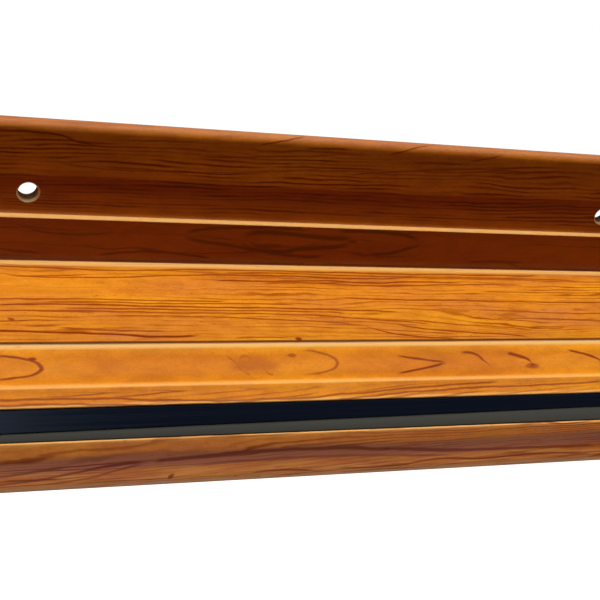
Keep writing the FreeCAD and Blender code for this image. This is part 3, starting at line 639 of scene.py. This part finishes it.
def write_grain(mesh, segments):
    """On every face corner: millimetres along the rail, and millimetres round the section."""
    start = np.array([s for s, _, _ in segments])
    way = np.array([e - s for s, e, _ in segments])
    length = np.linalg.norm(way, axis=1)
    way /= length[:, None]
    grain = np.array([g for _, _, g in segments])
    places = np.zeros(len(mesh.vertices) * 3)
    mesh.vertices.foreach_get("co", places)
    places = places.reshape(-1, 3) / MM
    section = np.column_stack((-places[:, 1], places[:, 2]))
    attribute = mesh.attributes.new("grain", "FLOAT_VECTOR", "CORNER")
    values = np.zeros((len(mesh.loops), 3))
    for face in mesh.polygons:
        corners = list(face.vertices)
        middle = section[corners].mean(axis=0)
        along = np.clip(((middle - start) * way).sum(axis=1), 0, length)
        gap = np.linalg.norm(start + way * along[:, None] - middle, axis=1)
        k = int(gap.argmin())
        loops = list(face.loop_indices)
        values[loops, 0] = places[corners, 0]
        values[loops, 1] = grain[k] + (section[corners] - start[k]) @ way[k]
    attribute.data.foreach_set("vector", values.astype(np.float32).ravel())


def smooth(piece):
    piece.data.shade_smooth()
    piece.data.set_sharp_from_angle(angle=SHARP_ANGLE)
    weighted = piece.modifiers.new("weighted_normals", "WEIGHTED_NORMAL")
    weighted.weight = 100
    weighted.keep_sharp = True


# ---------------------------------------------------------------- material helper

class Graph:
    """Builds one material's node tree with short calls."""

    def __init__(self, name):
        self.material = bpy.data.materials.new(name)
        self.material.use_nodes = True
        self.tree = self.material.node_tree
        self.tree.nodes.clear()

    def add(self, kind, inputs=None, **settings):
        node = self.tree.nodes.new(kind)
        for key, value in settings.items():
            setattr(node, key, value)
        for key, value in (inputs or {}).items():
            self.plug(node.inputs[key], value)
        return node

    def plug(self, socket, value):
        if isinstance(value, bpy.types.NodeSocket):
            self.tree.links.new(value, socket)
        else:
            socket.default_value = value

    def math(self, operation, *values, clamp=False):
        node = self.add("ShaderNodeMath", dict(enumerate(values)), operation=operation, use_clamp=clamp)
        return node.outputs[0]

    def total(self, *values):
        result = values[0]
        for value in values[1:]:
            result = self.math("ADD", result, value)
        return result

    def product(self, *values):
        result = values[0]
        for value in values[1:]:
            result = self.math("MULTIPLY", result, value)
        return result

    def ramp(self, value, low, high, start=0.0, end=1.0, kind="SMOOTHSTEP"):
        inputs = {0: value, 1: low, 2: high, 3: start, 4: end}
        return self.add("ShaderNodeMapRange", inputs, interpolation_type=kind, clamp=True).outputs[0]

    def band(self, value, low, high, soft):
        """1 between low and high, fading to 0 over soft beyond them."""
        rise = self.ramp(value, low - soft, low)
        fall = self.ramp(value, high, high + soft, 1.0, 0.0)
        return self.math("MULTIPLY", rise, fall)

    def noise(self, place, detail=2.0, roughness=0.5):
        """Noise with features about one unit long, from 0 to 1."""
        inputs = {"Vector": place, "Scale": 1.0, "Detail": detail, "Roughness": roughness}
        return self.add("ShaderNodeTexNoise", inputs).outputs[0]

    def scaled(self, place, size, offset=(0.0, 0.0, 0.0)):
        """The place measured in units of size, shifted by offset units."""
        inputs = {0: place, 1: tuple(1.0 / s for s in size), 2: offset}
        return self.add("ShaderNodeVectorMath", inputs, operation="MULTIPLY_ADD").outputs[0]

    def mix(self, factor, first, second, kind="MIX"):
        node = self.add("ShaderNodeMix", data_type="RGBA", blend_type=kind)
        self.plug(node.inputs[0], factor)
        self.plug(node.inputs[6], first)
        self.plug(node.inputs[7], second)
        return node.outputs[2]

    def colours(self, value, stops):
        """A colour ramp; stops are (position, colour)."""
        node = self.add("ShaderNodeValToRGB", {0: value})
        elements = node.color_ramp.elements
        while len(elements) < len(stops):
            elements.new(0.5)
        for element, (position, colour) in zip(elements, stops):
            element.position = position
            element.color = colour
        return node.outputs[0]

    def bump(self, height, strength, distance):
        """distance is in metres."""
        inputs = {"Height": height, "Strength": strength, "Distance": distance}
        return self.add("ShaderNodeBump", inputs).outputs[0]

    def finish(self, **inputs):
        """Ends the tree in a Principled shader. Keys are socket names with _ for a space."""
        shader = self.add("ShaderNodeBsdfPrincipled", {k.replace("_", " "): v for k, v in inputs.items()})
        output = self.add("ShaderNodeOutputMaterial")
        self.tree.links.new(shader.outputs[0], output.inputs[0])
        return self.material


def rgb(red, green, blue):
    return (red, green, blue, 1.0)


# ---------------------------------------------------------------- wood print

class Wood(Graph):
    """The printed wood finish, drawn in the coordinates that write_grain leaves on a mesh."""

    GRAIN_SPAN = (-10.0, 125.0)

    def __init__(self, name):
        super().__init__(name)
        self.place = self.add("ShaderNodeAttribute", attribute_name="grain").outputs["Vector"]
        split = self.add("ShaderNodeSeparateXYZ", {0: self.place})
        self.x, self.s = split.outputs[0], split.outputs[1]

    def profile(self, points):
        """A value that depends only on the position round the section; points are (position, value)."""
        low, high = self.GRAIN_SPAN
        top = max(value for _, value in points) or 1.0
        at = self.ramp(self.s, low, high, kind="LINEAR")
        node = self.add("ShaderNodeFloatCurve", {0: 1.0, 1: at})
        curve = node.mapping.curves[0]
        places = [(low, points[0][1])] + list(points) + [(high, points[-1][1])]
        places = [((p - low) / (high - low), value / top) for p, value in places]
        curve.points[0].location, curve.points[1].location = places[0], places[-1]
        for place in places[1:-1]:
            curve.points.new(*place)
        for point in curve.points:
            point.handle_type = "VECTOR"
        node.mapping.update()
        return self.math("MULTIPLY", node.outputs[0], top)

    def tone(self, stops):
        """A colour that depends only on the position round the section; stops are (position, colour)."""
        low, high = self.GRAIN_SPAN
        at = self.ramp(self.s, low, high, kind="LINEAR")
        return self.colours(at, [((p - low) / (high - low), rgb(*colour)) for p, colour in stops])

    def waver(self, size, offset, amount, detail=1.0):
        """Noise centred on 0, stretched along the rail."""
        noise = self.noise(self.scaled(self.place, (*size, 1.0), offset), detail)
        return self.math("MULTIPLY", self.math("SUBTRACT", noise, 0.5), amount)

    def path(self, width, strength, places):
        """One grain line through the places, fading at its ends."""
        first, last = places[0][0], places[-1][0]
        low, high = min(s for _, s in places), max(s for _, s in places)
        rise = max(high - low, 0.1)
        along = self.ramp(self.wobbled_x, first, last, kind="LINEAR")
        node = self.add("ShaderNodeFloatCurve", {0: 1.0, 1: along})
        curve = node.mapping.curves[0]
        points = [((x - first) / (last - first), (s - low) / rise) for x, s in places]
        curve.points[0].location, curve.points[1].location = points[0], points[-1]
        for point in points[1:-1]:
            curve.points.new(*point)
        node.mapping.update()
        line = self.math("MULTIPLY_ADD", node.outputs[0], rise, low)
        off = self.math("ABSOLUTE", self.math("SUBTRACT", self.wobbled_s, line))
        fade = min(0.2, 4.0 / (last - first))
        return self.math("MULTIPLY", self.ramp(off, width * 0.3, width, strength, 0.0),
                         self.band(along, fade, 1.0 - fade, fade * 0.98))

    def within(self, centre, half):
        """The place counted from centre, in units of half."""
        u = self.math("DIVIDE", self.math("SUBTRACT", self.wobbled_x, centre[0]), half[0])
        v = self.math("DIVIDE", self.math("SUBTRACT", self.wobbled_s, centre[1]), half[1])
        return u, v

    def squares(self, u, v):
        return self.math("ADD", self.math("MULTIPLY", u, u), self.math("MULTIPLY", v, v))

    def loop(self, centre, half, width, strength, side):
        """Half a loop of grain, on the side named."""
        u, v = self.within(centre, half)
        off = self.math("ABSOLUTE", self.math("SUBTRACT", self.math("POWER", self.squares(u, v), 0.5), 1.0))
        flat, steep = self.math("DIVIDE", u, half[0] * 0.5), self.math("DIVIDE", v, half[1])
        off = self.math("DIVIDE", off, self.math("POWER", self.squares(flat, steep), 0.5))
        ink = self.math("MULTIPLY", self.ramp(off, width * 0.3, width, 1.0, 0.0), strength)
        value, low, high = {"right": (u, -0.2, 0.5), "lower": (v, -0.1, 0.4)}[side]
        return self.math("MULTIPLY", ink, self.ramp(value, low, high))

    def knot(self, centre, half, strength):
        """A small dark mark."""
        return self.ramp(self.squares(*self.within(centre, half)), 0.2, 1.0, strength, 0.0)


def wood_print():
    g = Wood("wood_print")
    g.wobbled_x = g.math("ADD", g.x, g.waver((5.0, 2.5), (3.1, 8.4, 0.0), 1.6))
    g.wobbled_s = g.math("ADD", g.s, g.total(g.waver((9.0, 3.0), (11.0, 2.0, 0.0), 0.7),
                                             g.waver((3.4, 1.6), (2.0, 5.0, 0.0), 0.35)))
    lines, painted_line_glints = print_lines(g, print_rings(g))
    ink = print_figures(g, lines)
    colour = print_colour(g)
    # Painted highlights beside the grain lines.
    colour = g.mix(painted_line_glints, colour, rgb(1.25, 1.45, 1.6), "MULTIPLY")
    colour = g.mix(ink, colour, INK_COLOUR, "MULTIPLY")
    colour, bare = base_coat(g, colour)
    peel = g.noise(g.scaled(g.place, (1.6, 1.6, 1.0)), 2.0)
    height = g.total(g.math("MULTIPLY", peel, 0.6), g.math("MULTIPLY", lines, -0.15))
    rough = g.ramp(g.noise(g.scaled(g.place, (14.0, 3.0, 1.0), (5.0, 1.0, 0.0)), 3.0), 0.3, 0.7, 0.27, 0.38)
    rough = g.math("ADD", rough, g.math("MULTIPLY", bare, 0.12))
    return g.finish(Base_Color=colour, Roughness=rough, IOR=1.5, Normal=g.bump(height, 0.18, 0.00012))


def print_rings(g):
    """A count that goes up by one at every grain line."""
    count = g.profile(LINE_COUNT)
    slope = g.math("SUBTRACT", g.profile(LINE_SLOPE), LEVEL_SLOPE)
    unrest = g.profile(LINE_UNREST)
    wave = g.total(g.waver((46.0, 9.0), (0.4, 0.0, 0.0), 4.5), g.waver((13.0, 3.4), (7.0, 3.0, 0.0), 1.3),
                   g.waver((4.4, 1.2), (1.0, 9.0, 0.0), 0.5))
    fan = g.product(g.ramp(g.x, -20.0, 60.0, 0.0, -3.2), g.band(g.s, 55.0, 58.0, 8.0))
    return g.total(count, g.math("MULTIPLY", slope, g.x), g.math("MULTIPLY", unrest, wave), fan)


def print_lines(g, rings):
    """How dark the grain lines are, and a painted highlight along the pale edge beside each of them."""
    number = g.math("ROUND", rings)
    off = g.math("SUBTRACT", rings, number)
    off = g.math("MAXIMUM", off, g.math("MULTIPLY", off, -2.2))
    width = g.profile(LINE_WIDTH)
    off = g.math("DIVIDE", off, width)
    line = g.ramp(off, 0.2, 1.0, 1.0, 0.0)
    own_place = {0: g.math("DIVIDE", g.x, 26.0), 1: g.math("MULTIPLY", number, 7.3)}
    own = g.noise(g.add("ShaderNodeCombineXYZ", own_place).outputs[0], 2.0)
    weight = g.ramp(own, 0.38, 0.60, 0.15, 1.0)
    patches = g.noise(g.scaled(g.place, (60.0, 7.0, 1.0), (4.0, 6.5, 0.0)), 1.0)
    dense = g.ramp(patches, 0.35, 0.62, 0.55, 1.0)
    dense = g.math("SUBTRACT", dense, g.knot((-58.0, 42.6), (46.0, 5.6), 0.7), clamp=True)
    zone = g.profile(LINE_STRENGTH)
    ink = g.product(line, weight, dense, zone)
    line_glint = g.product(g.band(g.math("MULTIPLY", off, width), -0.9, -0.3, 0.2), weight, zone, 0.35)
    hairs = g.noise(g.scaled(g.place, (4.0, 0.26, 1.0), (2.0, 1.0, 0.0)), 3.0, 0.6)
    fibre = g.ramp(hairs, 0.54, 0.74, 0.0, 0.30)
    specks = g.noise(g.scaled(g.place, (2.0, 0.4, 1.0), (9.0, 4.0, 0.0)), 2.0)
    flecks = g.ramp(specks, 0.62, 0.70, 0.0, 0.75)
    where = g.ramp(g.noise(g.scaled(g.place, (22.0, 5.0, 1.0), (1.0, 5.0, 0.0)), 1.0), 0.45, 0.62)
    calm = g.profile(FLECK_STRENGTH)
    flecks = g.product(flecks, where, calm)
    fibre = g.product(fibre, g.ramp(calm, 0.0, 1.0, 0.5, 1.0))
    return g.math("MAXIMUM", g.math("MAXIMUM", ink, fibre), flecks), line_glint


def print_figures(g, ink):
    """Adds the single strong lines, loops and knots that stand out of the straight grain."""
    for line in GRAIN_LINES:
        ink = g.math("MAXIMUM", ink, g.path(*line))
    for loop in GRAIN_LOOPS:
        ink = g.math("MAXIMUM", ink, g.loop(*loop))
    for knot in GRAIN_KNOTS:
        ink = g.math("MAXIMUM", ink, g.knot(*knot))
    return ink


def print_colour(g):
    """The ground colour of the print, with its patches and the tone of each face, and painted light over it:
    painted shade on the flange, riser and seam, painted highlights along edges, painted sheen on the lip and
    nose, and a painted dark reflection and warm glow on the nose.
    """
    patch = g.noise(g.scaled(g.place, (38.0, 9.0, 1.0), (2.0, 7.0, 0.0)), 3.0, 0.55)
    colour = g.colours(patch, ((0.30, rgb(1.00, 0.38, 0.016)), (0.45, rgb(0.93, 0.31, 0.018)),
                               (0.60, rgb(0.84, 0.26, 0.026)), (0.75, rgb(0.78, 0.27, 0.060))))
    speck = g.noise(g.scaled(g.place, (2.0, 1.0, 1.0)), 3.0, 0.6)
    colour = g.mix(g.ramp(speck, 0.35, 0.75, 0.0, 0.22), colour, rgb(0.62, 0.17, 0.010))
    mottle = g.ramp(g.noise(g.scaled(g.place, (6.0, 3.0, 1.0), (8.0, 8.0, 0.0)), 3.0), 0.35, 0.7)
    colour = g.mix(g.math("MULTIPLY", mottle, 0.5), colour, rgb(0.72, 0.62, 0.50), "MULTIPLY")
    colour = g.mix(g.knot((-4.0, 37.2), (46.0, 4.6), 0.5), colour, rgb(0.80, 0.70, 0.70), "MULTIPLY")
    grit = g.noise(g.scaled(g.place, (0.7, 0.45, 1.0), (1.0, 2.0, 0.0)), 2.0, 0.7)
    colour = g.mix(g.ramp(grit, 0.35, 0.7, 0.0, 0.5), colour, rgb(0.80, 0.74, 0.70), "MULTIPLY")
    # Each face's tone, with its painted shade and painted highlights.
    colour = g.mix(1.0, colour, g.tone(FACE_TONES_WITH_PAINTED_LIGHT), "MULTIPLY")
    # Painted shade: the flange face is darker and redder below a ragged line halfway down, strongest just
    # below it and fading out above the ledge.
    ragged = g.total(g.s, g.waver((60.0, 30.0), (1.0, 1.0, 0.0), 2.0),
                     g.waver((9.0, 2.0), (0.0, 4.0, 0.0), 0.5))
    red = g.math("MULTIPLY", g.ramp(ragged, 10.1, 10.4), g.ramp(ragged, 12.5, 16.0, 1.0, 0.1))
    red = g.math("MULTIPLY", red, g.ramp(g.s, 18.0, 19.6, 1.0, 0.0))
    colour = g.mix(g.math("MULTIPLY", red, 0.9), colour, rgb(0.70, 0.38, 0.25), "MULTIPLY")
    # Painted reflection: a dark purplish band round the middle of the nose, standing for the dark
    # surroundings reflected there.
    drift = g.math("ADD", g.s, g.waver((50.0, 20.0), (6.0, 2.0, 0.0), 4.0))
    painted_dark_reflection = g.band(drift, 87.9, 90.6, 1.4)
    colour = g.mix(g.math("MULTIPLY", painted_dark_reflection, 0.8), colour, rgb(0.42, 0.125, 0.075))
    # Painted light: a patchy warm glow along the lower part of the nose.
    painted_glow = g.ramp(g.noise(g.scaled(g.place, (13.0, 2.2, 1.0), (6.0, 1.0, 0.0)), 1.0), 0.42, 0.6)
    painted_glow = g.math("MULTIPLY", painted_glow, g.band(g.s, 91.8, 94.6, 1.6))
    colour = g.mix(g.math("MULTIPLY", painted_glow, 0.7), colour, rgb(0.62, 0.21, 0.016))
    # Painted sheen on the lip and nose, with the thinner print on the lip.
    sheen_and_thin_print = g.profile(PAINTED_SHEEN_AND_THIN_PRINT)
    colour = g.mix(sheen_and_thin_print, colour, rgb(0.48, 0.22, 0.12))
    # Painted highlights along the ledge, the fillet behind the deck, the scoop's edges, the foot of the land
    # and the top of the nose.
    for high, low, strength, soft_high, soft_low in PAINTED_EDGE_HIGHLIGHTS:
        rise = g.ramp(g.s, high - soft_high, high)
        fall = g.ramp(g.s, low, low + soft_low, strength, 0.0)
        colour = g.mix(g.math("MULTIPLY", rise, fall), colour, EDGE_HIGHLIGHT_COLOUR)
    # Painted shade along the seam between deck and grip.
    top, bottom, soft, strength = SEAM_SHADE_LINE
    return g.mix(g.math("MULTIPLY", g.band(g.s, top, bottom, soft), strength), colour, SEAM_SHADE_COLOUR)


def base_coat(g, printed):
    """Where the print stops the sprayed base coat shows, with a ragged edge between them."""
    edge = g.total(g.s, g.waver((5.0, 2.0), (3.0, 3.0, 0.0), 1.6), g.waver((0.9, 0.9), (3.0, 3.0, 0.0), 0.5))
    bare = g.math("MAXIMUM", g.ramp(edge, *PRINT_TOP), g.ramp(g.s, *PRINT_BOTTOM))
    blotch = g.noise(g.scaled(g.place, (20.0, 9.0, 1.0)), 3.0)
    coat = g.mix(g.ramp(blotch, 0.3, 0.7), rgb(0.40, 0.21, 0.10), rgb(0.47, 0.26, 0.13))
    return g.mix(bare, printed, coat), bare


# ---------------------------------------------------------------- other materials

def object_place(g):
    """Object coordinates in millimetres."""
    inputs = {0: g.add("ShaderNodeTexCoord").outputs["Object"], 1: (1 / MM, 1 / MM, 1 / MM)}
    return g.add("ShaderNodeVectorMath", inputs, operation="MULTIPLY").outputs[0]


def bare_metal():
    """Drilled and sawn aluminium: hole walls and the cut ends of the extrusions."""
    g = Graph("bare_aluminium")
    place = object_place(g)
    rings = g.noise(g.scaled(place, (1.2, 0.12, 1.2)), 2.0)
    colour = g.mix(rings, rgb(0.42, 0.23, 0.09), rgb(0.66, 0.40, 0.19))
    return g.finish(Base_Color=colour, Metallic=0.1, Roughness=g.ramp(rings, 0.2, 0.8, 0.35, 0.5),
                    Normal=g.bump(rings, 0.3, 0.00005))


def carrier_black():
    g = Graph("black_plastic")
    place = object_place(g)
    die = g.noise(g.scaled(place, (60.0, 0.5, 0.5)), 3.0)
    dust = g.ramp(g.noise(g.scaled(place, (1.5, 0.6, 0.6)), 4.0, 0.7), 0.6, 0.8)
    colour = g.mix(g.math("MULTIPLY", dust, 0.3), rgb(0.004, 0.006, 0.013), rgb(0.016, 0.018, 0.024))
    return g.finish(Base_Color=colour, Roughness=g.ramp(die, 0.3, 0.7, 0.18, 0.3), IOR=1.5,
                    Normal=g.bump(die, 0.2, 0.00003))


def bead_grey():
    g = Graph("grey_rubber")
    place = object_place(g)
    grit = g.noise(g.scaled(place, (0.5, 0.35, 0.35)), 4.0, 0.7)
    drift = g.noise(g.scaled(place, (30.0, 4.0, 4.0)), 2.0)
    colour = g.mix(drift, rgb(0.072, 0.069, 0.055), rgb(0.105, 0.100, 0.080))
    colour = g.mix(g.ramp(grit, 0.55, 0.8, 0.0, 0.4), colour, rgb(0.14, 0.14, 0.12))
    return g.finish(Base_Color=colour, Roughness=g.ramp(grit, 0.3, 0.7, 0.62, 0.8),
                    Normal=g.bump(grit, 0.25, 0.00006))


def cap_brown():
    g = Graph("cap_plastic")
    place = object_place(g)
    grain = g.noise(g.scaled(place, (0.45, 0.45, 0.45)), 3.0, 0.6)
    drift = g.noise(g.scaled(place, (18.0, 18.0, 18.0)), 2.0)
    colour = g.mix(drift, rgb(0.040, 0.018, 0.010), rgb(0.060, 0.028, 0.015))
    return g.finish(Base_Color=colour, Roughness=g.ramp(grain, 0.3, 0.7, 0.42, 0.55),
                    Normal=g.bump(grain, 0.35, 0.00008))


def metal(name, dark, light, roughness, marks):
    """Bright metal, mottled with marks of this many millimetres."""
    g = Graph(name)
    turned = g.noise(g.scaled(object_place(g), (marks, marks, marks)), 3.0)
    colour = g.mix(turned, dark, light)
    return g.finish(Base_Color=colour, Metallic=1.0, Roughness=g.ramp(turned, 0.25, 0.75, *roughness),
                    Normal=g.bump(turned, 0.2, 0.00004))


# ---------------------------------------------------------------- the object

def dress(piece, slot, *materials):
    for material in materials:
        piece.data.materials.append(material)


def build_object():
    wood, cut = wood_print(), bare_metal()
    port = circle_loop(WALL_PORT, PORT_RADIUS)
    rail = extrude("mounting_rail_print", mounting_outline(), [port], hole_cutter())
    grip_loops = [[start for start, _, _ in grip_hollow().segments()],
                  circle_loop(UPPER_PORT, PORT_RADIUS), circle_loop(LOWER_PORT, PORT_RADIUS)]
    grip = extrude("grip_rail_print", grip_outline(), grip_loops)
    carrier = extrude("insert_carrier_strip", carrier_outline(), drift=ridge_drift)
    bead = extrude("insert_bead_strip", bead_outline(), drift=ridge_drift)
    for piece, node in ((rail, "mounting_rail"), (grip, "grip_rail"), (carrier, "insert_carrier"),
                        (bead, "insert_bead")):
        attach(piece, "root")
        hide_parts(node)
    dress(rail, "wood_print", wood, cut)
    dress(grip, "wood_print", wood, cut)
    dress(carrier, "black_plastic", carrier_black())
    dress(bead, "grey_rubber", bead_grey())


def dress_cad():
    cap = cap_brown()
    steel = metal("stainless_screw", rgb(0.50, 0.49, 0.47), rgb(0.68, 0.67, 0.65), (0.2, 0.36), 0.6)
    zinc = metal("zinc_nut", rgb(0.42, 0.43, 0.46), rgb(0.62, 0.63, 0.66), (0.3, 0.5), 1.5)
    finish = {"end_cap": cap, "cap_screw": steel, "joint_screw": steel, "square_nut": zinc}
    for name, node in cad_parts.items():
        for start, material in finish.items():
            if name.startswith(start):
                node.data.materials.clear()
                node.data.materials.append(material)


# ---------------------------------------------------------------- studio

def add_light(name, place, target, size, power, colour=(1.0, 1.0, 1.0)):
    data = bpy.data.lights.new(name, "AREA")
    data.shape = "RECTANGLE"
    data.size, data.size_y = size
    data.energy = power
    data.color = colour
    light = bpy.data.objects.new(name, data)
    light.location = place
    light.rotation_euler = (Vector(target) - Vector(place)).to_track_quat("-Z", "Y").to_euler()
    bpy.context.scene.collection.objects.link(light)
    return light


def build_floor():
    bm = bmesh.new()
    turns = ((-1, -1), (1, -1), (1, 1), (-1, 1))
    bm.faces.new([bm.verts.new((x * FLOOR_REACH, y * FLOOR_REACH, FLOOR_LEVEL)) for x, y in turns])
    floor = new_piece("floor", bm)
    g = Graph("floor_white")
    speck = g.noise(g.scaled(object_place(g), (200.0, 200.0, 200.0)), 2.0)
    colour = g.mix(speck, rgb(0.98, 0.98, 0.98), rgb(1.0, 1.0, 1.0))
    white = g.finish(Base_Color=colour, Roughness=0.9, Emission_Color=colour, Emission_Strength=1.0)
    floor.data.materials.append(white)
    floor.visible_diffuse = False
    floor.visible_glossy = False
    floor.visible_shadow = False


def build_world():
    world = bpy.data.worlds.new("studio")
    bpy.context.scene.world = world
    world.use_nodes = True
    tree = world.node_tree
    tree.nodes.clear()
    seen = tree.nodes.new("ShaderNodeBackground")
    seen.inputs[0].default_value = rgb(1.0, 1.0, 1.0)
    fill = tree.nodes.new("ShaderNodeBackground")
    fill.inputs[0].default_value = rgb(0.92, 0.96, 1.0)
    fill.inputs[1].default_value = FILL_STRENGTH
    path = tree.nodes.new("ShaderNodeLightPath")
    mix = tree.nodes.new("ShaderNodeMixShader")
    output = tree.nodes.new("ShaderNodeOutputWorld")
    tree.links.new(path.outputs["Is Camera Ray"], mix.inputs[0])
    tree.links.new(fill.outputs[0], mix.inputs[1])
    tree.links.new(seen.outputs[0], mix.inputs[2])
    tree.links.new(mix.outputs[0], output.inputs[0])


def build_camera():
    data = bpy.data.cameras.new("camera")
    data.lens = CAMERA_LENS
    data.sensor_width = CAMERA_SENSOR
    camera = bpy.data.objects.new("camera", data)
    camera.location = CAMERA_PLACE
    camera.rotation_euler = [math.radians(a) for a in CAMERA_TURN]
    bpy.context.scene.collection.objects.link(camera)
    bpy.context.scene.camera = camera


def build_studio():
    build_floor()
    build_world()
    for name, light in (("overhead", OVERHEAD), ("under_fill", UNDER_FILL)):
        add_light(name, *light).visible_glossy = False
    add_light("front_strip", *FRONT_STRIP)
    add_light("cool_card", *COOL_CARD, COOL_COLOUR)
    build_camera()
    view = bpy.context.scene.view_settings
    view.view_transform = "Standard"
    view.look = "None"


build_object()
dress_cad()
build_studio()
